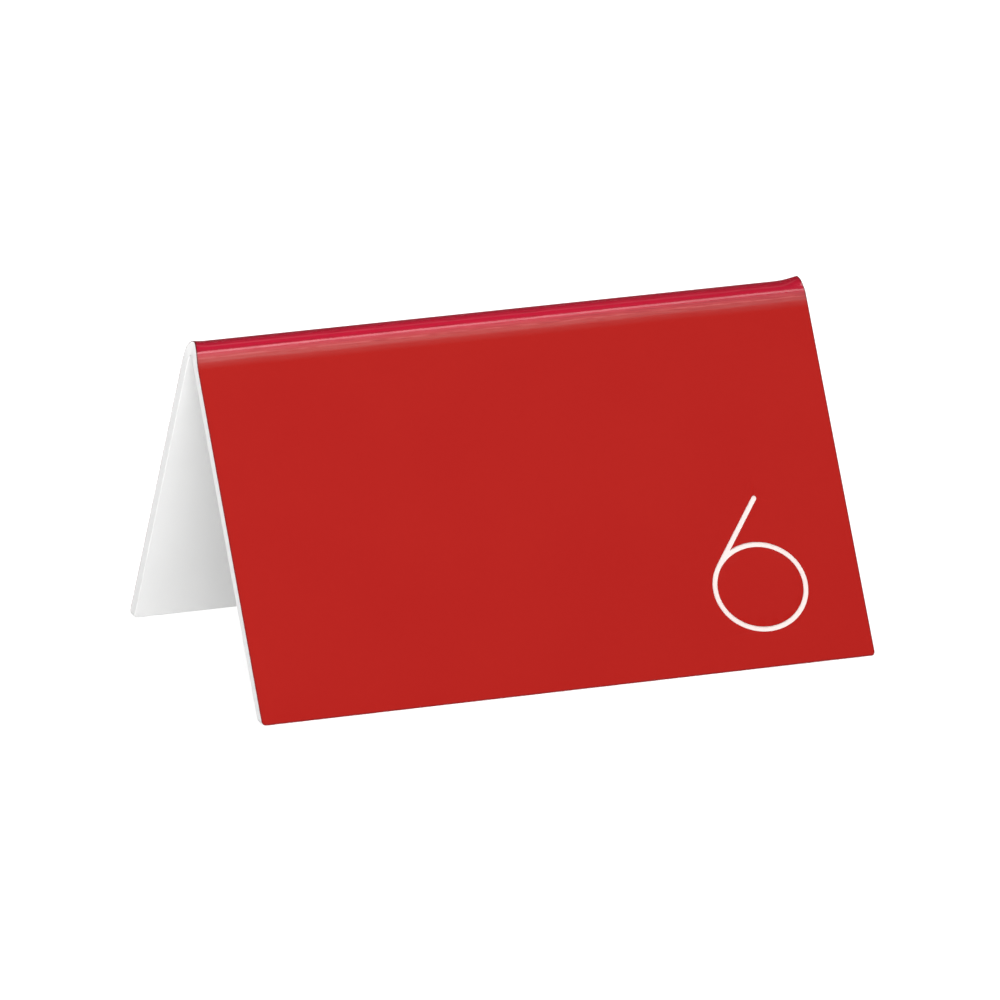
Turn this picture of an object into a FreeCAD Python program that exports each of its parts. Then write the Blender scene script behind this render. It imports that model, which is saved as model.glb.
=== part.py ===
import FreeCAD, Part
import math
import os

# Tent-shaped table number: one 100 x 120 mm blank of two-layer engraving sheet, heated along its
# middle and bent over a rod, so that two 60 mm panels stand at 60 degrees to each other.
# A thin red cap covers the outside of a white core. The numeral is cut through the cap.
#
# Millimetres. X runs along the fold, -Y is the front, +Z is up, and the origin is the middle of
# the footprint, on the table.

os.makedirs("parts", exist_ok=True)

# Sheet
WIDTH = 100.0             # along the fold
BLANK = 120.0             # across the fold, measured at mid-thickness
SHEET = 2.0               # cap and core together
CAP = 0.2                 # red layer
HALF_ANGLE = math.radians(30.0)    # each panel to the vertical
BEND_RADIUS = 3.0         # outside of the fold
FOOT_CORNER = 0.6         # radius of the sheet's four corners
CAP_RELIEF = 0.2          # the cap stops this far above the table, so that it can't chip

# Ends of the fold: the hot sheet flares outwards towards its end, and its outer edge is eased
RIGHT_FLARE = 0.60        # rise of the crest at the +X end
LEFT_FLARE = 0.30         # and at the -X end
RIGHT_FLARE_LENGTH = 4.0
LEFT_FLARE_LENGTH = 2.5
RIGHT_EASE = 0.45         # how far the crest's corner is taken back along the fold
LEFT_EASE = 0.85
EASE_DROP = 5.2           # the easing reaches this many times as far down as back
FLARE_STATIONS = 7        # sections that shape each flare
FLARE_POWER = 1.3         # how blunt the flare's profile is near the end

# Numeral, in the panel's own plane: u along X from the middle, v up the slope from the cap's edge
BOWL_CENTRE = (33.52, 12.68)
BOWL_HALF_WIDTH = 7.38    # to the middle of the stroke
BOWL_HALF_HEIGHT = 6.72
BOWL_TILT = math.radians(-5.9)
STROKE = 0.80
STEM_LEAN = math.radians(37.4)     # from the direction straight up the slope, towards +X
STEM_LENGTH = 12.7        # from the bowl's tangent point to the centre of the round tip
GROOVE_IN_CORE = 0.1      # the cutter goes this far into the white below the cap

SIN = math.sin(HALF_ANGLE)
COS = math.cos(HALF_ANGLE)
TAN = math.tan(HALF_ANGLE)
HALF_BEND = (BEND_RADIUS - SHEET / 2) * (math.pi / 2 - HALF_ANGLE)
MITRE = SHEET / 2 * TAN
SLOPE = BLANK / 2 - HALF_BEND + BEND_RADIUS / TAN + MITRE   # virtual outer ridge to the table
RIDGE = SLOPE * COS       # height of the virtual ridge where the two outer faces would meet
BEND_ZONE = 8.5           # part of the slope that the flared ends take up
CAP_EDGE = FreeCAD.Vector(0, -RIDGE * TAN + CAP_RELIEF * TAN, CAP_RELIEF)


def ridge_of(depth):
    """Height of the virtual ridge of the faces that lie this far inside the outer faces."""
    return RIDGE - depth / SIN


def over_the_fold(x, depth, radius, low):
    """Edges from the front face, at height low, over the fold to the back face."""
    ridge = ridge_of(depth)
    centre = ridge - radius / SIN
    y_low = (ridge - low) * TAN
    y_tangent = radius * COS
    z_tangent = centre + radius * SIN
    front = FreeCAD.Vector(x, -y_low, low)
    start = FreeCAD.Vector(x, -y_tangent, z_tangent)
    crest = FreeCAD.Vector(x, 0, centre + radius)
    finish = FreeCAD.Vector(x, y_tangent, z_tangent)
    back = FreeCAD.Vector(x, y_low, low)
    edges = [
        Part.makeLine(front, start),
        Part.Arc(start, crest, finish).toShape(),
        Part.makeLine(finish, back),
    ]
    return edges, front, back


def layer_wire(x, outer, inner, lows):
    """Closed section of a layer. outer and inner are (depth, radius) pairs."""
    outside, front_out, back_out = over_the_fold(x, outer[0], outer[1], lows[0])
    inside, front_in, back_in = over_the_fold(x, inner[0], inner[1], lows[1])
    edges = outside + [Part.makeLine(back_out, back_in)]
    edges += list(reversed(inside)) + [Part.makeLine(front_in, front_out)]
    return Part.Wire(Part.__sortEdges__(edges))


def zone_lows(outer_depth, inner_depth):
    """Heights where a square cut across the sheet, BEND_ZONE down the slope, meets both faces."""
    low = RIDGE - BEND_ZONE * COS
    return low - outer_depth * SIN, low - inner_depth * SIN


def fold_end(sign, flare, length, outer, inner):
    """Flared end of the fold, where the outer bend tightens so that its crest rises."""
    lows = zone_lows(outer[0], inner[0])
    wires = []
    for station in range(FLARE_STATIONS):
        run = length * (1 - station / (FLARE_STATIONS - 1))    # distance from the end
        rise = flare * (1 - (run / length) ** FLARE_POWER) ** 2
        inner_rise = rise if inner[0] < SHEET else 0.0         # the inside of the sheet stays straight
        outside = (outer[0], outer[1] - rise)
        inside = (inner[0], inner[1] - inner_rise)
        wires.append(layer_wire(sign * (WIDTH / 2 - run), outside, inside, lows))
    return Part.makeLoft(wires, True, False)


def prism_x(wire, length):
    return Part.Face(wire).extrude(FreeCAD.Vector(length, 0, 0))


def bent_layer(outer_depth, inner_depth, table):
    """One layer of the bent sheet, cut off level at height table."""
    outer = (outer_depth, BEND_RADIUS - outer_depth)
    inner = (inner_depth, BEND_RADIUS - inner_depth)
    lows = zone_lows(outer_depth, inner_depth)
    end = WIDTH / 2
    start = -end + LEFT_FLARE_LENGTH
    straight = WIDTH - LEFT_FLARE_LENGTH - RIGHT_FLARE_LENGTH
    whole = prism_x(layer_wire(-end, outer, inner, (table, table)), WIDTH)
    fold = prism_x(layer_wire(-end, outer, inner, lows), WIDTH)
    middle = prism_x(layer_wire(start, outer, inner, (table, table)), straight)
    right = fold_end(1, RIGHT_FLARE, RIGHT_FLARE_LENGTH, outer, inner)
    left = fold_end(-1, LEFT_FLARE, LEFT_FLARE_LENGTH, outer, inner)
    layer = middle.fuse([whole.cut(fold), right, left]).removeSplitter()
    return layer.cut(foot_cutters(table) + crest_cutters())


def foot_cutters(table):
    """Tools that round the sheet's lower corners, at both ends of both panels."""
    tools = []
    r = FOOT_CORNER
    depth = 2 * RIDGE
    for sign in (-1, 1):
        x_centre = sign * (WIDTH / 2 - r)
        block = Part.makeBox(2 * r, depth, 2 * r)
        x_block = x_centre if sign > 0 else x_centre - 2 * r
        block.translate(FreeCAD.Vector(x_block, -depth / 2, table - r))
        along_y = FreeCAD.Vector(0, 1, 0)
        centre = FreeCAD.Vector(x_centre, -depth / 2, table + r)
        tools.append(block.cut(Part.makeCylinder(r, depth, centre, along_y)))
    return tools


def crest_cutters():
    """Tools that ease the corner of the sheet at each end of the fold's crest."""
    tools = []
    depth = 2 * RIDGE
    for sign, back, flare in ((1, RIGHT_EASE, RIGHT_FLARE), (-1, LEFT_EASE, LEFT_FLARE)):
        drop = back * EASE_DROP
        crest = RIDGE - BEND_RADIUS + flare
        centre = FreeCAD.Vector(sign * (WIDTH / 2 - back), -depth / 2, crest - drop)
        above = centre + FreeCAD.Vector(0, 0, drop)
        beside = centre + FreeCAD.Vector(back, 0, 0)
        oval = Part.Face(Part.Wire(Part.Ellipse(above, beside, centre).toShape()))
        block = Part.makeBox(2 * back, depth, 2 * drop)
        x_block = centre.x if sign > 0 else centre.x - 2 * back
        block.translate(FreeCAD.Vector(x_block, -depth / 2, centre.z))
        tools.append(block.cut(oval.extrude(FreeCAD.Vector(0, depth, 0))))
    return tools


def ellipse(grow):
    """The bowl's centre line, grown outwards by grow, in the panel's own plane."""
    centre = FreeCAD.Vector(BOWL_CENTRE[0], BOWL_CENTRE[1], 0)
    curve = Part.Ellipse(centre, BOWL_HALF_WIDTH + grow, BOWL_HALF_HEIGHT + grow)
    curve.rotate(FreeCAD.Placement(centre, FreeCAD.Vector(0, 0, 1), math.degrees(BOWL_TILT)))
    return curve


def from_bowl(p):
    """Turns a point in the bowl's own axes into the panel's plane."""
    c, s = math.cos(BOWL_TILT), math.sin(BOWL_TILT)
    u = BOWL_CENTRE[0] + p[0] * c - p[1] * s
    v = BOWL_CENTRE[1] + p[0] * s + p[1] * c
    return FreeCAD.Vector(u, v, 0)


def numeral_face():
    """The whole stroke: an oval bowl, with a straight stem that leaves it as a tangent."""
    half = STROKE / 2
    a, b = BOWL_HALF_WIDTH + half, BOWL_HALF_HEIGHT + half
    lean = STEM_LEAN + BOWL_TILT           # the stem's lean in the bowl's own axes
    run = (math.sin(lean), math.cos(lean))
    side = (-math.cos(lean), math.sin(lean))
    support = math.hypot(a * side[0], b * side[1])
    touch = (a * a * side[0] / support, b * b * side[1] / support)
    near = (touch[0] - side[0] * STROKE, touch[1] - side[1] * STROKE)
    # where the stem's inner side comes out through the outside of the bowl
    p = (run[0] / a) ** 2 + (run[1] / b) ** 2
    q = near[0] * run[0] / a ** 2 + near[1] * run[1] / b ** 2
    s = (near[0] / a) ** 2 + (near[1] / b) ** 2 - 1
    step = (-q + math.sqrt(q * q - p * s)) / p
    leave = (near[0] + run[0] * step, near[1] + run[1] * step)
    top_far = (touch[0] + run[0] * STEM_LENGTH, touch[1] + run[1] * STEM_LENGTH)
    top_near = (near[0] + run[0] * STEM_LENGTH, near[1] + run[1] * STEM_LENGTH)
    tip = tuple((m + n) / 2 + half * d for m, n, d in zip(top_far, top_near, run))
    first = math.atan2(touch[1] / b, touch[0] / a)
    last = math.atan2(leave[1] / b, leave[0] / a) + 2 * math.pi
    edges = [
        Part.ArcOfEllipse(ellipse(half), first, last).toShape(),
        Part.makeLine(from_bowl(leave), from_bowl(top_near)),
        Part.Arc(from_bowl(top_near), from_bowl(tip), from_bowl(top_far)).toShape(),
        Part.makeLine(from_bowl(top_far), from_bowl(touch)),
    ]
    outside = Part.Face(Part.Wire(Part.__sortEdges__(edges)))
    return outside.cut(counter_face())


def counter_face():
    """The middle of the bowl, inside the stroke."""
    return Part.Face(Part.Wire(ellipse(-STROKE / 2).toShape()))


def on_panel(face, below, above):
    """Extrudes a flat face square through the front panel, from below to above its outer face."""
    solid = face.extrude(FreeCAD.Vector(0, 0, below + above))
    solid.translate(FreeCAD.Vector(0, 0, -below))
    solid.rotate(FreeCAD.Vector(0, 0, 0), FreeCAD.Vector(1, 0, 0), 90 - math.degrees(HALF_ANGLE))
    solid.translate(CAP_EDGE)
    return solid


def turned_to_back(shape):
    """The same shape on the back panel, seen the right way round from behind."""
    turned = shape.copy()
    turned.rotate(FreeCAD.Vector(0, 0, 0), FreeCAD.Vector(0, 0, 1), 180)
    return turned


def main():
    front_groove = on_panel(numeral_face(), CAP + GROOVE_IN_CORE, 1.0)
    back_groove = turned_to_back(front_groove)
    front_counter = on_panel(counter_face(), CAP, 0.0)
    back_counter = turned_to_back(front_counter)
    bowl_prism = on_panel(counter_face(), CAP + GROOVE_IN_CORE, 1.0)

    core = bent_layer(CAP, SHEET, 0.0)
    core = core.cut([front_groove, back_groove])

    cap = bent_layer(0.0, CAP, CAP_RELIEF)
    cap = cap.cut([front_groove, back_groove, bowl_prism, turned_to_back(bowl_prism)])

    nodes = {
        "white_core": core,
        "red_cap": cap,
        "front_counter": front_counter,
        "back_counter": back_counter,
    }
    for name, shape in nodes.items():
        solid = shape.Solids[0]
        solid.exportStep("parts/" + name + ".step")


main()
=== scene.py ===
import math

import bmesh
import bpy
from mathutils import Matrix, Vector
from mathutils.geometry import delaunay_2d_cdt


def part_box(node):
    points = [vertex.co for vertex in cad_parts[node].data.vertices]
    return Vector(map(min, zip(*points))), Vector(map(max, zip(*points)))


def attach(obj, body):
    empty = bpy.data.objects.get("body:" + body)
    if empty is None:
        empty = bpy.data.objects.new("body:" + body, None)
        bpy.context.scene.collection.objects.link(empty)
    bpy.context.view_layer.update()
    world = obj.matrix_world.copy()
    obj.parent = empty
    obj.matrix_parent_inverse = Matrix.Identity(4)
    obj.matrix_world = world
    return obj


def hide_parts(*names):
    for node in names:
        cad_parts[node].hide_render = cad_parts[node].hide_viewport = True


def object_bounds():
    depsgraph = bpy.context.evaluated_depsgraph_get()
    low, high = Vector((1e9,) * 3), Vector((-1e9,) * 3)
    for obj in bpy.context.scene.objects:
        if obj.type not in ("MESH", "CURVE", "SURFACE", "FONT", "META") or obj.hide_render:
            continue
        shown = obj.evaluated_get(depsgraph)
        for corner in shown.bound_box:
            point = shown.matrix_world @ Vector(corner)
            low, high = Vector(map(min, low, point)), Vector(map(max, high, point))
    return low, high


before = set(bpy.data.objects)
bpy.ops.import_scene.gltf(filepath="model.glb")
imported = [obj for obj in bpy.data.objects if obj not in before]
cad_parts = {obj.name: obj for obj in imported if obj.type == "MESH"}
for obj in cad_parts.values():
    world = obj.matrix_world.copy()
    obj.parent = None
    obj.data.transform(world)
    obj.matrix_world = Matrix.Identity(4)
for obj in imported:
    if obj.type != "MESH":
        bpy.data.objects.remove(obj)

CAD_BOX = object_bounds()

# ---------------------------------------------------------------------------------------------
# The sheet, in metres. These are the driving dimensions of the CAD part.
# ---------------------------------------------------------------------------------------------
MM = 0.001
HALF_ANGLE = math.radians(30.0)      # each panel to the vertical
SHEET = 2.0 * MM
CAD_CAP = 0.2 * MM                   # red layer of the CAD part
CAP = 0.1 * MM                       # red layer as drawn here, for a narrow rim
BEND_RADIUS = 3.0 * MM               # outside of the fold
BEND_ZONE = 8.5 * MM                 # part of the slope that is meshed as the fold
FOOT_CORNER = 0.6 * MM

BOWL_CENTRE = (33.52 * MM, 12.68 * MM)
BOWL_HALF_WIDTH = 7.38 * MM
BOWL_HALF_HEIGHT = 6.72 * MM
BOWL_TILT = math.radians(-5.9)
STROKE = 0.80 * MM
STEM_LEAN = math.radians(37.4)
STEM_LENGTH = 12.7 * MM
GROOVE_IN_CORE = 0.2 * MM            # with CAP, as deep as the CAD part's groove

# flare of the crest and easing of its corner, at the +X and -X ends of the fold
FLARE = {1: 0.60 * MM, -1: 0.30 * MM}
FLARE_LENGTH = {1: 4.0 * MM, -1: 2.5 * MM}
FLARE_POWER = 1.3
EASE = {1: 0.45 * MM, -1: 0.85 * MM}
EASE_DROP = 5.2

# small rounds that only the eye needs
CAP_ROUND = 0.04 * MM
# the dark rim is partly a darkened cut edge and partly painted shade along the sheet's edges
RIM = (0.08 * MM, 0.16 * MM, 0.27 * MM)   # insets of the rows that carry the dark rim
RIM_STRENGTHS = (0.0, 0.55, 1.0)     # from the innermost of those rows outwards
CORE_ROUND = 0.07 * MM
GROOVE_ROUND = 0.03 * MM
ROUND_STEPS = 3

SIN, COS, TAN = math.sin(HALF_ANGLE), math.cos(HALF_ANGLE), math.tan(HALF_ANGLE)
FRONT, BACK = -1, 1                  # sign of y

core_low, core_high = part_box("white_core")
cap_low, cap_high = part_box("red_cap")
HALF_WIDTH = core_high.x
CAP_TABLE = cap_low.z                # the CAD's cap stops this far above the table
CAP_DROP = 0.1 * MM
CAP_FOOT = CAP_TABLE - CAP_DROP      # the drawn cap stops a little lower
CORE_TABLE = core_low.z
RIDGE = CORE_TABLE + core_high.y / TAN + CAD_CAP / SIN    # where the outer faces would meet


# ---------------------------------------------------------------------------------------------
# Shape of the bent sheet
# ---------------------------------------------------------------------------------------------
LIFT_REACH = math.radians(42.0)      # the lifted crest has faded out at this angle


def lift_at(x, angle, depth):
    """How far the surface is lifted near an end of the fold. It fades through the sheet."""
    sign = 1 if x > 0 else -1
    run = (HALF_WIDTH - abs(x)) / FLARE_LENGTH[sign]
    if run >= 1 or abs(angle) >= LIFT_REACH:
        return 0.0
    share = min(1.0, (SHEET - depth) / (SHEET - CAP))
    along = (1 - max(run, 0.0) ** FLARE_POWER) ** 2
    around = math.cos(math.pi / 2 * angle / LIFT_REACH) ** 2
    return FLARE[sign] * share * along * around


def ease_at(sign, z):
    """How far the end of the fold is taken back at height z."""
    back = EASE[sign]
    crest = RIDGE - BEND_RADIUS + FLARE[sign]
    drop = back * EASE_DROP
    q = (z - (crest - drop)) / drop
    if q <= 0:
        return 0.0
    return back * (1 - math.sqrt(max(0.0, 1 - min(q, 1.0) ** 2)))


def section(x, row, depth):
    """(y, z) of a point of the section at x. A row is a side and share of flank, or an angle."""
    kind, value = row
    if kind == "arc":
        reach = BEND_RADIUS - depth + lift_at(x, value, depth)
        centre = RIDGE - BEND_RADIUS / SIN
        return reach * math.sin(value), centre + reach * math.cos(value)
    side = kind
    down = BEND_ZONE + (BEND_RADIUS / TAN - BEND_ZONE) * value
    y = side * (down * SIN - depth * COS)
    return y, RIDGE - down * COS - depth * SIN


FLANK_SHARES = (0.0, 0.35, 0.7)      # rows on each flank, from the panel towards the arc
ARC_STEPS = 44


def fold_rows():
    """Rows of the fold's mesh, from the front flank over the crest to the back flank."""
    reach = math.pi / 2 - HALF_ANGLE
    arc = [("arc", -reach + 2 * reach * k / ARC_STEPS) for k in range(ARC_STEPS + 1)]
    front = [(FRONT, share) for share in FLANK_SHARES]
    back = [(BACK, share) for share in reversed(FLANK_SHARES)]
    return front + arc + back


def fold_columns():
    """Distances from an end of the fold, close together near the end."""
    near = [0.6, 0.8, 1.05, 1.35, 1.7, 2.1, 2.6, 3.2, 4.0, 5.2]
    return [run * MM for run in near]


FOLD_ROWS = fold_rows()
COLUMN_RUNS = fold_columns()
COLUMN_STEP = 3.0 * MM
EASE_FADE = 3.0 * MM


def column_xs():
    """x of every inner column of the fold's mesh, left to right, before easing."""
    inner = HALF_WIDTH - COLUMN_RUNS[-1]
    count = round(2 * inner / COLUMN_STEP)
    middle = [-inner + 2 * inner * k / count for k in range(1, count)]
    left = [-HALF_WIDTH + run for run in COLUMN_RUNS]
    right = [HALF_WIDTH - run for run in reversed(COLUMN_RUNS)]
    return left + middle + right


def fold_point(x, row, depth):
    """Point of the fold. Columns near an end move back with its eased corner."""
    sign = 1 if x > 0 else -1
    run = HALF_WIDTH - abs(x)
    fade = max(0.0, 1 - run / EASE_FADE)
    y, z = section(x, row, depth)
    moved = x - sign * ease_at(sign, z) * fade
    y, z = section(moved, row, depth)
    return Vector((moved, y, z))


def fold_end_point(sign, row, inset, depth):
    """Point where a row meets the sheet's edge, taken back by inset."""
    x = sign * (HALF_WIDTH - inset)
    for _ in range(3):
        y, z = section(x, row, depth)
        x = sign * (HALF_WIDTH - inset - ease_at(sign, z))
    y, z = section(x, row, depth)
    return Vector((x, y, z))


CORNER_STEPS = 10


def foot_corner(sign, side, table, inset, depth):
    """Points round a lower corner of a panel, from its foot to its side."""
    points = []
    reach = FOOT_CORNER - inset
    for k in range(CORNER_STEPS + 1):
        turn = math.pi / 2 * k / CORNER_STEPS
        x = sign * (HALF_WIDTH - FOOT_CORNER + reach * math.sin(turn))
        z = table + FOOT_CORNER - reach * math.cos(turn)
        y = side * (RIDGE - depth / SIN - z) * TAN
        points.append(Vector((x, y, z)))
    return points


def on_panel(side, u, v, depth):
    """Point of a panel: u along the fold, v up the slope from the cap's lower edge."""
    along_y = (RIDGE - CAP_TABLE) * TAN - v * SIN - depth * COS
    z = CAP_TABLE + v * COS - depth * SIN
    return Vector((-side * u, side * along_y, z))


def panel_uv(side, p, depth):
    """The inverse of on_panel for a point at this depth."""
    return Vector((-side * p.x, (p.z + depth * SIN - CAP_TABLE) / COS))


# ---------------------------------------------------------------------------------------------
# Outline of the numeral
# ---------------------------------------------------------------------------------------------
def from_bowl(p):
    c, s = math.cos(BOWL_TILT), math.sin(BOWL_TILT)
    return (BOWL_CENTRE[0] + p[0] * c - p[1] * s, BOWL_CENTRE[1] + p[0] * s + p[1] * c)


def counter_outline(grow, steps=96):
    """The inside edge of the bowl's stroke, in the panel's plane."""
    a = BOWL_HALF_WIDTH - STROKE / 2 + grow
    b = BOWL_HALF_HEIGHT - STROKE / 2 + grow
    turns = [2 * math.pi * k / steps for k in range(steps)]
    return [from_bowl((a * math.cos(t), b * math.sin(t))) for t in turns]


def stroke_outline(grow, bowl_steps=100, tip_steps=14):
    """The outside edge of the whole stroke: round the bowl, up the stem, round its tip and down."""
    half = STROKE / 2 + grow
    a, b = BOWL_HALF_WIDTH + half, BOWL_HALF_HEIGHT + half
    lean = STEM_LEAN + BOWL_TILT
    run = (math.sin(lean), math.cos(lean))
    side = (-math.cos(lean), math.sin(lean))
    support = math.hypot(a * side[0], b * side[1])
    touch = (a * a * side[0] / support, b * b * side[1] / support)
    near = (touch[0] - side[0] * 2 * half, touch[1] - side[1] * 2 * half)
    p = (run[0] / a) ** 2 + (run[1] / b) ** 2
    q = near[0] * run[0] / a ** 2 + near[1] * run[1] / b ** 2
    s = (near[0] / a) ** 2 + (near[1] / b) ** 2 - 1
    leave = (-q + math.sqrt(q * q - p * s)) / p
    first = math.atan2(touch[1] / b, touch[0] / a)
    out = (near[0] + run[0] * leave, near[1] + run[1] * leave)
    last = math.atan2(out[1] / b, out[0] / a) + 2 * math.pi
    points = []
    for k in range(bowl_steps):
        t = first + (last - first) * k / bowl_steps
        points.append((a * math.cos(t), b * math.sin(t)))
    points.append((near[0] + run[0] * leave, near[1] + run[1] * leave))
    middle = (touch[0] - side[0] * half, touch[1] - side[1] * half)
    centre = (middle[0] + run[0] * STEM_LENGTH, middle[1] + run[1] * STEM_LENGTH)
    for k in range(tip_steps):
        t = math.pi * k / tip_steps
        across, along = -math.cos(t) * half, math.sin(t) * half
        points.append((centre[0] + side[0] * across + run[0] * along,
                       centre[1] + side[1] * across + run[1] * along))
    points.append((touch[0] + run[0] * STEM_LENGTH, touch[1] + run[1] * STEM_LENGTH))
    return [from_bowl(p) for p in points]


# ---------------------------------------------------------------------------------------------
# Mesh building
# ---------------------------------------------------------------------------------------------
SHARP_ANGLE = math.radians(40.0)     # edges that turn further than this stay sharp


class Shell:
    """Collects the vertices and faces of one closed piece."""

    def __init__(self):
        self.vertices = []
        self.rims = []
        self.faces = []
        self.kinds = []

    def add(self, points, rim=0.0):
        """Adds points. rim is how strongly they show the dark rim along the sheet's edge, which is
        partly a darkened cut edge and partly painted shade.
        """
        start = len(self.vertices)
        self.vertices += points
        self.rims += [rim] * len(points)
        return list(range(start, len(self.vertices)))

    def face(self, corners, kind):
        """Adds one face. kind is the number of its material."""
        self.faces.append(corners)
        self.kinds.append(kind)

    def band(self, first, second, kind, closed=True):
        """Quads between two rows of the same length."""
        count = len(first)
        last = count if closed else count - 1
        for k in range(last):
            n = (k + 1) % count
            self.face((first[k], first[n], second[n], second[k]), kind)

    def object(self, name, materials):
        mesh = bpy.data.meshes.new(name)
        mesh.from_pydata([tuple(v) for v in self.vertices], [], self.faces)
        for material in materials:
            mesh.materials.append(material)
        mesh.polygons.foreach_set("material_index", self.kinds)
        rim = mesh.attributes.new("rim", "FLOAT", "POINT")
        rim.data.foreach_set("value", self.rims)
        work = bmesh.new()
        work.from_mesh(mesh)
        bmesh.ops.recalc_face_normals(work, faces=work.faces)
        for edge in work.edges:
            if len(edge.link_faces) == 2:
                edge.smooth = edge.calc_face_angle(0.0) < SHARP_ANGLE
        for face in work.faces:
            face.smooth = True
        work.to_mesh(mesh)
        work.free()
        mesh.update()
        made = bpy.data.objects.new(name, mesh)
        bpy.context.scene.collection.objects.link(made)
        weighted = made.modifiers.new("WeightedNormal", "WEIGHTED_NORMAL")
        weighted.keep_sharp = True
        weighted.weight = 100
        return made


def inside(point, loop):
    """Even-odd test of a 2D point in a closed loop."""
    found = False
    for k, a in enumerate(loop):
        b = loop[k - 1]
        if (a[1] > point[1]) != (b[1] > point[1]):
            cut = a[0] + (point[1] - a[1]) * (b[0] - a[0]) / (b[1] - a[1])
            if point[0] < cut:
                found = not found
    return found


MERGE_DISTANCE = 1e-6                # points closer than this are one when a face is filled


def fill(shell, loops, flat_loops, kind, spare=None):
    """Fills the area inside the first loop and outside the others.

    loops hold vertex numbers and flat_loops the same points in 2D. spare turns a 2D point into
    a new vertex, for the regular grid of points that keeps the triangles well shaped.
    """
    flat, ids, edges = [], [], []
    for loop, points in zip(loops, flat_loops):
        start = len(flat)
        flat += [Vector(p) for p in points]
        ids += loop
        edges += [(start + k, start + (k + 1) % len(loop)) for k in range(len(loop))]
    if spare:
        for p, place in spare:
            flat.append(Vector(p))
            ids += shell.add([place])
    made = delaunay_2d_cdt(flat, edges, [], 1, MERGE_DISTANCE, True)
    found = {}
    for k, origins in enumerate(made[3]):
        found[k] = ids[origins[0]] if origins else None
    for triangle in made[2]:
        centre = sum((made[0][k] for k in triangle), Vector((0, 0))) / len(triangle)
        if inside(centre, flat_loops[0]) and not any(inside(centre, h) for h in flat_loops[1:]):
            shell.face([found[k] for k in triangle], kind)


def grid_points(loops, step, margin, place):
    """Regular points inside the first loop, clear of every loop by margin."""
    us = [p[0] for p in loops[0]]
    vs = [p[1] for p in loops[0]]
    marks = [q for loop in loops for q in spread(loop, margin)]
    points = []
    count_u = int((max(us) - min(us)) / step)
    count_v = int((max(vs) - min(vs)) / step)
    for i in range(1, count_u + 1):
        for j in range(1, count_v + 1):
            p = (min(us) + i * step, min(vs) + j * step)
            if not inside(p, loops[0]) or any(inside(p, hole) for hole in loops[1:]):
                continue
            if all(math.hypot(p[0] - q[0], p[1] - q[1]) > margin for q in marks):
                points.append((p, place(p)))
    return points


def spread(loop, step):
    """Points along a loop, no further apart than step."""
    points = []
    for k, b in enumerate(loop):
        a = loop[k - 1]
        count = max(1, math.ceil(math.hypot(b[0] - a[0], b[1] - a[1]) / step))
        points += [(a[0] + (b[0] - a[0]) * n / count, a[1] + (b[1] - a[1]) * n / count)
                   for n in range(count)]
    return points


def quarter_round(radius, start, outwards=True):
    """(inset, depth) pairs of a small round at a face's edge, from the face to the side wall."""
    pairs = []
    for k in range(ROUND_STEPS + 1):
        turn = math.pi / 2 * k / ROUND_STEPS
        inset = radius * (1 - math.sin(turn))
        depth = radius * (1 - math.cos(turn))
        pairs.append((inset, start + depth))
    if not outwards:
        pairs = [(inset, 2 * start - depth) for inset, depth in reversed(pairs)]
    return pairs


def edge_ring(shell, table, inset, depth, rim=0.0):
    """The sheet's whole edge: right-hand side from front to back, then left-hand side."""
    ring = {}
    for sign in (1, -1):
        for side in (FRONT, BACK):
            ring[sign, side] = shell.add(foot_corner(sign, side, table, inset, depth), rim)
        rows = [fold_end_point(sign, row, inset, depth) for row in FOLD_ROWS]
        ring[sign, "fold"] = shell.add(rows, rim)
    loop = ring[1, FRONT] + ring[1, "fold"] + list(reversed(ring[1, BACK]))
    loop += ring[-1, BACK] + list(reversed(ring[-1, "fold"])) + list(reversed(ring[-1, FRONT]))
    ring["loop"] = loop
    return ring


FLANK_GRID = 5.0 * MM                # spacing of the inner points of a panel
FLANK_MARGIN = 1.2 * MM              # and how far they keep from its outlines
ISLAND_GRID = 2.0 * MM
ISLAND_MARGIN = 0.7 * MM


def flat_loop(shell, side, loop, depth):
    """A loop of vertices in the panel's plane."""
    found = [panel_uv(side, shell.vertices[n], depth) for n in loop]
    return [(p.x, p.y) for p in found]


def face_of_sheet(shell, ring, depth, kind, holes=None):
    """One whole face of the sheet: both panels and the fold. holes maps a side to its loops."""
    holes = holes or {}
    xs = column_xs()
    rows = []
    for k, row in enumerate(FOLD_ROWS):
        inner = shell.add([fold_point(x, row, depth) for x in xs])
        rows.append([ring[-1, "fold"][k]] + inner + [ring[1, "fold"][k]])
    for first, second in zip(rows, rows[1:]):
        shell.band(first, second, kind, closed=False)
    for side, border in ((FRONT, rows[0]), (BACK, rows[-1])):
        loop = ring[-1, side][::-1] + ring[1, side] + border[::-1]
        loops = [loop] + holes.get(side, [])
        flat = [flat_loop(shell, side, found, depth) for found in loops]
        extra = grid_points(flat, FLANK_GRID, FLANK_MARGIN, lambda p: on_panel(side, *p, depth))
        fill(shell, loops, flat, kind, extra)


def numeral_ring(shell, side, outline, depth):
    """Vertices along an outline of the numeral, on one panel."""
    return shell.add([on_panel(side, u, v, depth) for u, v in outline])


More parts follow.
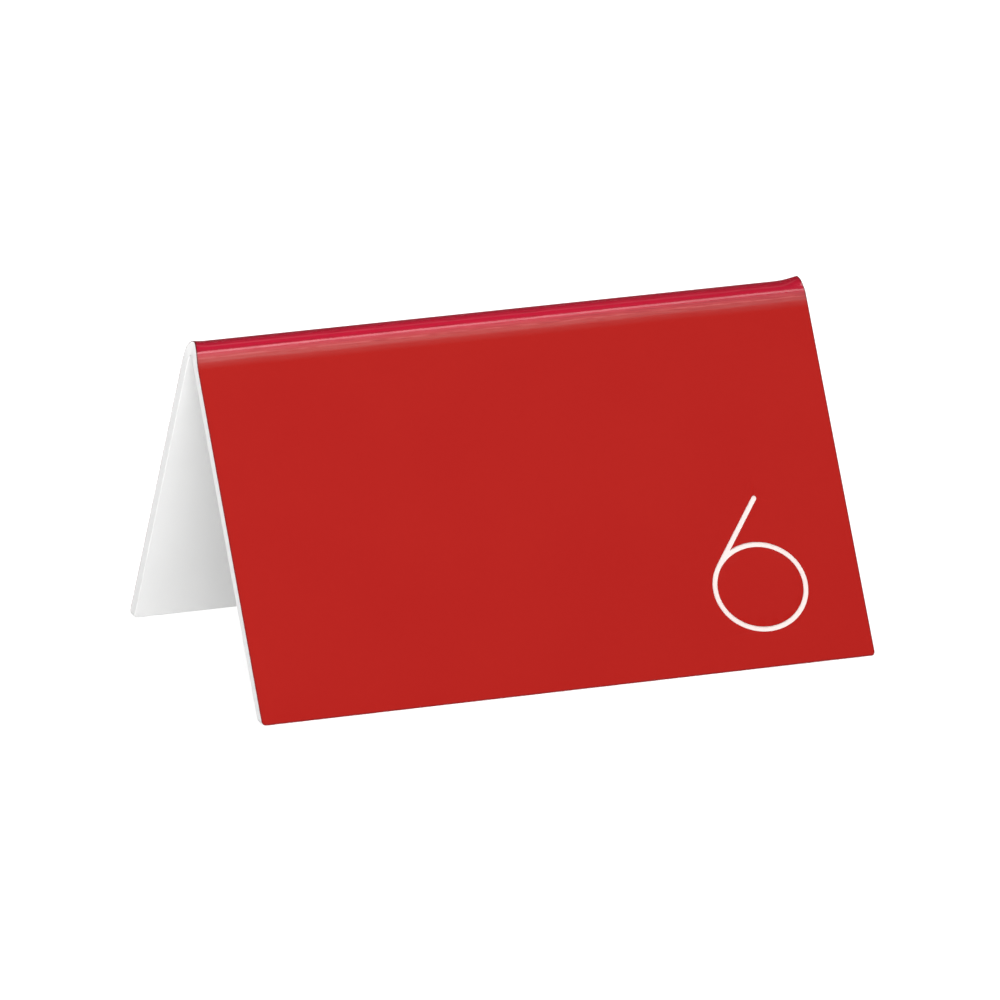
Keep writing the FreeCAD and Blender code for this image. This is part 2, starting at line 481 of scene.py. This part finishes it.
# ---------------------------------------------------------------------------------------------
# Pieces
# ---------------------------------------------------------------------------------------------
def red_cap(materials):
    """The red layer, with a small round along every edge that was cut."""
    shell = Shell()
    rims = [(inset, 0.0, rim) for inset, rim in zip(reversed(RIM), RIM_STRENGTHS)]
    rims += [(inset, depth, 1.0) for inset, depth in quarter_round(CAP_ROUND, 0.0) + [(0.0, CAP)]]
    rings = [edge_ring(shell, CAP_FOOT, *values) for values in rims]
    for first, second in zip(rings, rings[1:]):
        shell.band(first["loop"], second["loop"], 0)
    top_holes, low_holes = {}, {}
    hole_pairs = quarter_round(GROOVE_ROUND, 0.0) + [(0.0, CAP)]
    for side in (FRONT, BACK):
        loops = [numeral_ring(shell, side, stroke_outline(inset), depth)
                 for inset, depth in hole_pairs]
        for first, second in zip(loops, loops[1:]):
            shell.band(first, second, 0)
        top_holes[side], low_holes[side] = [loops[0]], [loops[-1]]
    face_of_sheet(shell, rings[0], 0.0, 0, top_holes)
    face_of_sheet(shell, rings[-1], CAP, 0, low_holes)
    return shell.object("red_cap_sheet", materials)


def white_core(materials):
    """The white layer, with the numeral's groove in both faces and softened inner edges."""
    plain, cut, groove = 0, 1, 2
    shell = Shell()
    pairs = [(0.0, CAP)] + quarter_round(CORE_ROUND, SHEET, outwards=False)
    rings = [edge_ring(shell, CORE_TABLE, inset, depth) for inset, depth in pairs]
    for first, second in zip(rings, rings[1:]):
        shell.band(first["loop"], second["loop"], cut)
    holes = {}
    floor = CAP + GROOVE_IN_CORE
    soft = GROOVE_IN_CORE / 2
    part = 0.3 * soft
    level = soft + 0.04 * MM
    steps = ((0.0, CAP), (0.0, floor - soft), (part, floor - part), (soft, floor),
             (level, floor))
    for side in (FRONT, BACK):
        outer = [numeral_ring(shell, side, stroke_outline(-grow), depth) for grow, depth in steps]
        inner = [numeral_ring(shell, side, counter_outline(grow), depth) for grow, depth in steps]
        for stack in (outer, inner):
            for first, second in zip(stack, stack[1:]):
                shell.band(first, second, groove)
        flats = [flat_loop(shell, side, loop, floor) for loop in (outer[-1], inner[-1])]
        fill(shell, [outer[-1], inner[-1]], flats, groove)
        fill(shell, [inner[0]], [flat_loop(shell, side, inner[0], CAP)], plain)
        holes[side] = [outer[0]]
    face_of_sheet(shell, rings[0], CAP, plain, holes)
    face_of_sheet(shell, rings[-1], SHEET, plain)
    return shell.object("white_core_sheet", materials)


def counter(name, side, materials):
    """The red island inside the bowl of a numeral."""
    shell = Shell()
    pairs = quarter_round(GROOVE_ROUND, 0.0) + [(0.0, CAP)]
    loops = [numeral_ring(shell, side, counter_outline(-inset), depth) for inset, depth in pairs]
    for first, second in zip(loops, loops[1:]):
        shell.band(first, second, 0)
    for loop, depth in ((loops[0], 0.0), (loops[-1], CAP)):
        flat = flat_loop(shell, side, loop, depth)
        extra = grid_points([flat], ISLAND_GRID, ISLAND_MARGIN,
                            lambda p: on_panel(side, *p, depth))
        fill(shell, [loop], [flat], 0, extra)
    return shell.object(name, materials)


# ---------------------------------------------------------------------------------------------
# Materials
# ---------------------------------------------------------------------------------------------
def new_material(name):
    """An empty material with one Principled shader."""
    material = bpy.data.materials.new(name)
    material.use_nodes = True
    nodes = material.node_tree.nodes
    nodes.clear()
    output = nodes.new("ShaderNodeOutputMaterial")
    shader = nodes.new("ShaderNodeBsdfPrincipled")
    material.node_tree.links.new(shader.outputs["BSDF"], output.inputs["Surface"])
    return material, shader


class Nodes:
    """Short names for the node tree of one material."""

    def __init__(self, material):
        self.tree = material.node_tree
        self.coord = self.tree.nodes.new("ShaderNodeTexCoord").outputs["Object"]

    def link(self, source, target):
        if isinstance(source, (int, float)):
            target.default_value = source
        else:
            self.tree.links.new(source, target)

    def math(self, operation, a, b=0.0, c=0.0):
        node = self.tree.nodes.new("ShaderNodeMath")
        node.operation = operation
        for value, socket in zip((a, b, c), node.inputs):
            self.link(value, socket)
        return node.outputs[0]

    def axes(self):
        node = self.tree.nodes.new("ShaderNodeSeparateXYZ")
        self.link(self.coord, node.inputs[0])
        return node.outputs

    def attribute(self, name):
        node = self.tree.nodes.new("ShaderNodeAttribute")
        node.attribute_name = name
        return node.outputs["Fac"]

    def stretch(self, scale):
        """The object's coordinates in metres, multiplied by scale for each axis."""
        node = self.tree.nodes.new("ShaderNodeMapping")
        node.inputs["Scale"].default_value = scale
        self.link(self.coord, node.inputs["Vector"])
        return node.outputs[0]

    def noise(self, vector, scale=1.0, detail=2.0, roughness=0.5):
        node = self.tree.nodes.new("ShaderNodeTexNoise")
        self.link(vector, node.inputs["Vector"])
        node.inputs["Scale"].default_value = scale
        node.inputs["Detail"].default_value = detail
        node.inputs["Roughness"].default_value = roughness
        return node.outputs[0]

    def ramp(self, value, low, high, out_low=0.0, out_high=1.0, smooth=True):
        node = self.tree.nodes.new("ShaderNodeMapRange")
        node.interpolation_type = "SMOOTHSTEP" if smooth else "LINEAR"
        self.link(value, node.inputs["Value"])
        for name, number in (("From Min", low), ("From Max", high),
                             ("To Min", out_low), ("To Max", out_high)):
            self.link(number, node.inputs[name])
        return node.outputs[0]

    def mix(self, factor, a, b):
        node = self.tree.nodes.new("ShaderNodeMix")
        node.data_type = "RGBA"
        self.link(factor, node.inputs["Factor"])
        for value, socket in ((a, node.inputs[6]), (b, node.inputs[7])):
            if isinstance(value, tuple):
                socket.default_value = (*value, 1.0)
            else:
                self.link(value, socket)
        return node.outputs[2]

    def bump(self, height, distance, strength=1.0, normal=None):
        node = self.tree.nodes.new("ShaderNodeBump")
        node.inputs["Strength"].default_value = strength
        node.inputs["Distance"].default_value = distance
        self.link(height, node.inputs["Height"])
        if normal is not None:
            self.link(normal, node.inputs["Normal"])
        return node.outputs[0]


PANEL_RED = (0.268, 0.0047, 0.0024)
FOLD_RED = (0.350, 0.0054, 0.0236)
# painted shade: darker red for the crest and the back of the fold, which face away from the front
# lamps
CREST_SHADE_RED = (0.240, 0.0030, 0.0140)
# darker red for random tone and streaks in the film, and also painted shade towards the fold's +X
# end
STREAK_AND_SHADE_RED = (0.196, 0.0026, 0.0090)
# painted highlight: pink for a thin bright line along each flank of the fold
FOLD_GLINT_PINK = (0.380, 0.0480, 0.0480)
# dark red of the rim: partly a darkened cut edge, partly painted shade along the sheet's edges
CUT_EDGE_AND_SHADE_RED = (0.100, 0.0060, 0.0080)
CORE_WHITE = (0.885, 0.885, 0.88)
# painted shade and painted reflected light: the groove's white is darker and pinker than the
# core's, as if shaded and lit red by the cap's walls
GROOVE_SHADE_WHITE = (0.62, 0.53, 0.51)    # darker than CORE_WHITE, to suit the lamps
SAWN_MARKS = (900.0, 3800.0, 900.0)
MILLED_MARKS = (4200.0, 1400.0, 1400.0)
FLOOR_PALE, FLOOR_SHADE = (0.34, 0.34, 0.34), (0.32, 0.32, 0.32)
FLOOR_GLOW = 0.80                    # for the camera only
WORLD_DIM = 0.06                     # the world's strength for everything but the camera


def cap_material():
    """Matt red film, polished and streaked darker where the fold was heated. The crest and the back
    of the fold are darker by painted shade, the fold's red darkens towards its +X end by painted
    shade, a thin pink line along each flank of the fold is a painted highlight, and the dark rim is
    partly painted shade.
    """
    material, shader = new_material("matt_red_cap")
    n = Nodes(material)
    x, y, z = n.axes()
    away = n.math("ABSOLUTE", y)
    wander = n.noise(n.stretch((60.0, 0.0, 0.0)), detail=3.0)
    away = n.math("ADD", away, n.ramp(wander, 0.0, 1.0, -0.12 * MM, 0.12 * MM, False))
    heat = n.math("ADD", n.ramp(away, 3.05 * MM, 3.25 * MM, 0.58, 0.0),
                  n.ramp(away, 3.05 * MM, 3.80 * MM, 0.42, 0.0))
    # painted shade: from here over the crest to the back of the fold, the red turns to the darker
    # crest red
    crest = n.ramp(y, -1.5 * MM, -0.5 * MM, 0.0, 1.0)
    ridges = n.noise(n.stretch((7.0, 2100.0, 2100.0)), detail=2.0, roughness=0.5)
    dashes = n.noise(n.stretch((330.0, 5600.0, 5600.0)), detail=2.0, roughness=0.6)
    streak = n.math("ADD", n.math("MULTIPLY", ridges, 0.5), n.math("MULTIPLY", dashes, 0.5))
    grain = n.noise(n.stretch((5200.0, 5200.0, 5200.0)), detail=2.0, roughness=0.7)
    cloud = n.noise(n.stretch((55.0, 55.0, 55.0)), detail=3.0)
    panel = n.mix(n.ramp(cloud, 0.3, 0.7, 0.0, 0.05), PANEL_RED, STREAK_AND_SHADE_RED)
    hot = n.mix(n.ramp(away, 2.2 * MM, 3.0 * MM), FOLD_RED, PANEL_RED)
    hot = n.mix(crest, hot, CREST_SHADE_RED)
    hot = n.mix(n.ramp(streak, 0.50, 0.64, 0.0, 0.6), hot, STREAK_AND_SHADE_RED)
    # painted shade: the fold's red darkens towards its +X end
    hot = n.mix(n.ramp(x, 5.0 * MM, 50.0 * MM, 0.0, 0.25), hot, STREAK_AND_SHADE_RED)
    # painted highlight: a thin pink line along each flank of the fold, 2.8 mm from its middle,
    # broken up by the dashes
    glint_line = n.ramp(n.math("ABSOLUTE", n.math("SUBTRACT", away, 2.80 * MM)),
                  0.02 * MM, 0.10 * MM, 1.0, 0.0)
    hot = n.mix(n.math("MULTIPLY", glint_line, n.ramp(dashes, 0.4, 0.6, 0.55, 0.1)), hot, FOLD_GLINT_PINK)
    red = n.mix(heat, panel, hot)
    # partly painted shade: the dark rim along the edges, strongest on the fold
    rim = n.math("MULTIPLY", n.attribute("rim"), n.ramp(heat, 0.0, 1.0, 0.60, 1.00))
    n.link(n.mix(rim, red, CUT_EDGE_AND_SHADE_RED), shader.inputs["Base Color"])
    matt = n.ramp(cloud, 0.2, 0.8, 0.50, 0.56)
    gloss = n.ramp(streak, 0.3, 0.7, 0.24, 0.36)
    roughness = n.math("ADD", n.math("MULTIPLY", heat, gloss),
                       n.math("MULTIPLY", n.math("SUBTRACT", 1.0, heat), matt))
    n.link(roughness, shader.inputs["Roughness"])
    sheen = n.math("MULTIPLY", n.ramp(streak, 0.38, 0.62, 1.0, 0.62),
                   n.ramp(x, -45.0 * MM, -10.0 * MM, 1.0, 0.84))
    n.link(n.math("MULTIPLY", heat, sheen), shader.inputs["Coat Weight"])
    fine = n.bump(grain, 0.004 * MM, 0.5)
    height = n.math("MULTIPLY", heat, streak)
    n.link(n.bump(height, 0.016 * MM, 1.0, fine), shader.inputs["Normal"])
    shader.inputs["Specular IOR Level"].default_value = 0.12
    shader.inputs["Coat Roughness"].default_value = 0.08
    shader.inputs["Coat IOR"].default_value = 1.5
    return material


def core_material(name, marks=None, tint=CORE_WHITE):
    """White plastic. marks is the scale of the cutter's marks on a cut surface."""
    material, shader = new_material(name)
    n = Nodes(material)
    cloud = n.noise(n.stretch((40.0, 40.0, 40.0)), detail=3.0)
    darker = tuple(c * 0.97 for c in tint)
    n.link(n.mix(n.ramp(cloud, 0.3, 0.7), tint, darker), shader.inputs["Base Color"])
    n.link(n.ramp(cloud, 0.2, 0.8, 0.38, 0.50), shader.inputs["Roughness"])
    grain = n.noise(n.stretch((2600.0, 2600.0, 2600.0)), detail=3.0)
    normal = n.bump(grain, 0.003 * MM, 0.6)
    if marks:
        lines = n.noise(n.stretch(marks), detail=2.0, roughness=0.6)
        normal = n.bump(lines, 0.012 * MM, 1.0, normal)
    n.link(normal, shader.inputs["Normal"])
    shader.inputs["Specular IOR Level"].default_value = 0.4
    return material


def floor_material():
    """Matt white paper. Its own glow is for the camera only and clears the contact shadow."""
    material, shader = new_material("pale_floor")
    n = Nodes(material)
    cloud = n.noise(n.stretch((1.5, 1.5, 1.5)), detail=2.0)
    n.link(n.mix(n.ramp(cloud, 0.3, 0.7), FLOOR_PALE, FLOOR_SHADE),
           shader.inputs["Base Color"])
    shader.inputs["Roughness"].default_value = 0.9
    shader.inputs["Specular IOR Level"].default_value = 0.0
    shader.inputs["Emission Color"].default_value = (1.0, 1.0, 1.0, 1.0)
    path = n.tree.nodes.new("ShaderNodeLightPath")
    n.link(n.math("MULTIPLY", path.outputs["Is Camera Ray"], FLOOR_GLOW),
           shader.inputs["Emission Strength"])
    return material


# ---------------------------------------------------------------------------------------------
# Studio
# ---------------------------------------------------------------------------------------------
def softbox(name, direction, distance, size, radiance, seen_in_gloss):
    """A flat lamp that faces the object. direction is from the object to the lamp."""
    away = Vector(direction).normalized()
    lamp = bpy.data.lights.new(name, "AREA")
    lamp.shape = "RECTANGLE"
    lamp.size, lamp.size_y = size
    lamp.energy = radiance * math.pi * size[0] * size[1]
    made = bpy.data.objects.new(name, lamp)
    made.location = away * distance
    side = Vector((0, 0, 1)).cross(away)
    side = side.normalized() if side.length > 1e-6 else Vector((1, 0, 0))
    up = away.cross(side)
    made.matrix_world = Matrix.Translation(away * distance) @ Matrix(
        (side, up, away)).transposed().to_4x4()
    made.visible_camera = False
    made.visible_glossy = seen_in_gloss
    bpy.context.scene.collection.objects.link(made)
    return made


def studio():
    """White to the camera, dim to everything else, so that the gloss shows the lamps alone."""
    world = bpy.data.worlds.new("studio")
    world.use_nodes = True
    nodes, links = world.node_tree.nodes, world.node_tree.links
    background = nodes["Background"]
    background.inputs["Color"].default_value = (1.0, 1.0, 1.0, 1.0)
    path = nodes.new("ShaderNodeLightPath")
    seen = nodes.new("ShaderNodeMapRange")
    seen.inputs["To Min"].default_value = WORLD_DIM
    seen.inputs["To Max"].default_value = 1.0
    links.new(path.outputs["Is Camera Ray"], seen.inputs["Value"])
    links.new(seen.outputs[0], background.inputs["Strength"])
    bpy.context.scene.world = world
    softbox("key", (0.0, -0.695, 0.719), 0.85, (2.0, 0.34), 1.95, True)
    softbox("key_edge", (0.1, -0.446, 0.895), 0.85, (1.5, 0.17), 4.8, True)
    softbox("ceiling", (0.0, 0.25, 0.968), 0.85, (2.0, 0.13), 0.6, True)
    softbox("rear", (0.70, 0.45, 0.56), 0.90, (0.40, 0.30), 1.3, True)
    softbox("front_left", (-0.42, -0.88, 0.22), 1.8, (1.5, 0.8), 9.6, False)
    softbox("left", (-0.90, -0.28, 0.34), 1.1, (0.6, 0.4), 3.0, False)
    softbox("right", (0.93, -0.10, 0.22), 1.3, (0.6, 0.5), 4.0, False)
    softbox("rear_fill", (0.2, 1.0, 0.5), 1.5, (1.6, 1.0), 8.0, False)


def floor():
    """A wide flat floor just under the sheet's feet."""
    half = 30.0
    steps = 12
    work = bmesh.new()
    bmesh.ops.create_grid(work, x_segments=steps, y_segments=steps, size=half)
    mesh = bpy.data.meshes.new("floor")
    work.to_mesh(mesh)
    work.free()
    mesh.materials.append(floor_material())
    made = bpy.data.objects.new("floor", mesh)
    made.location.z = CORE_TABLE - 0.02 * MM
    made.visible_glossy = False
    bpy.context.scene.collection.objects.link(made)


SENSOR_WIDTH = 36.0                  # millimetres, like the lens
LENS = 439.4


def camera():
    """A long lens, a little to the left of the front and above it."""
    azimuth, elevation, roll = (math.radians(a) for a in (-20.01, 16.255, -0.454))
    distance = 1.887
    aim_right, aim_up = 0.19 * MM, -4.37 * MM
    centre = (CAD_BOX[0] + CAD_BOX[1]) / 2
    back = Vector((math.sin(azimuth) * math.cos(elevation),
                   -math.cos(azimuth) * math.cos(elevation), math.sin(elevation)))
    level = Vector((math.cos(azimuth), math.sin(azimuth), 0.0))
    above = back.cross(level)
    right = math.cos(roll) * level + math.sin(roll) * above
    up = -math.sin(roll) * level + math.cos(roll) * above
    data = bpy.data.cameras.new("camera")
    data.sensor_width = SENSOR_WIDTH
    data.lens = LENS
    data.clip_start, data.clip_end = 0.1, 100.0
    made = bpy.data.objects.new("camera", data)
    place = centre + aim_right * right + aim_up * up + distance * back
    made.matrix_world = Matrix.Translation(place) @ Matrix((right, up, back)).transposed().to_4x4()
    bpy.context.scene.collection.objects.link(made)
    bpy.context.scene.camera = made


def main():
    red = cap_material()
    white = core_material("white_core_plastic")
    sawn = core_material("white_core_cut_edge", marks=SAWN_MARKS)
    # the groove's copy of the white is darkened and tinted pink: painted shade and painted red
    # reflected light
    milled = core_material("white_core_groove", marks=MILLED_MARKS, tint=GROOVE_SHADE_WHITE)
    pieces = (
        (red_cap([red]), "red_cap", "cap_red"),
        (white_core([white, sawn, milled]), "white_core", "core_white"),
        (counter("front_counter_island", FRONT, [red]), "front_counter", "cap_red"),
        (counter("back_counter_island", BACK, [red]), "back_counter", "cap_red"),
    )
    for piece, node, slot in pieces:
        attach(piece, "root")
        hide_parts(node)
    floor()
    studio()
    camera()
    view = bpy.context.scene.view_settings
    view.view_transform = "Standard"


main()
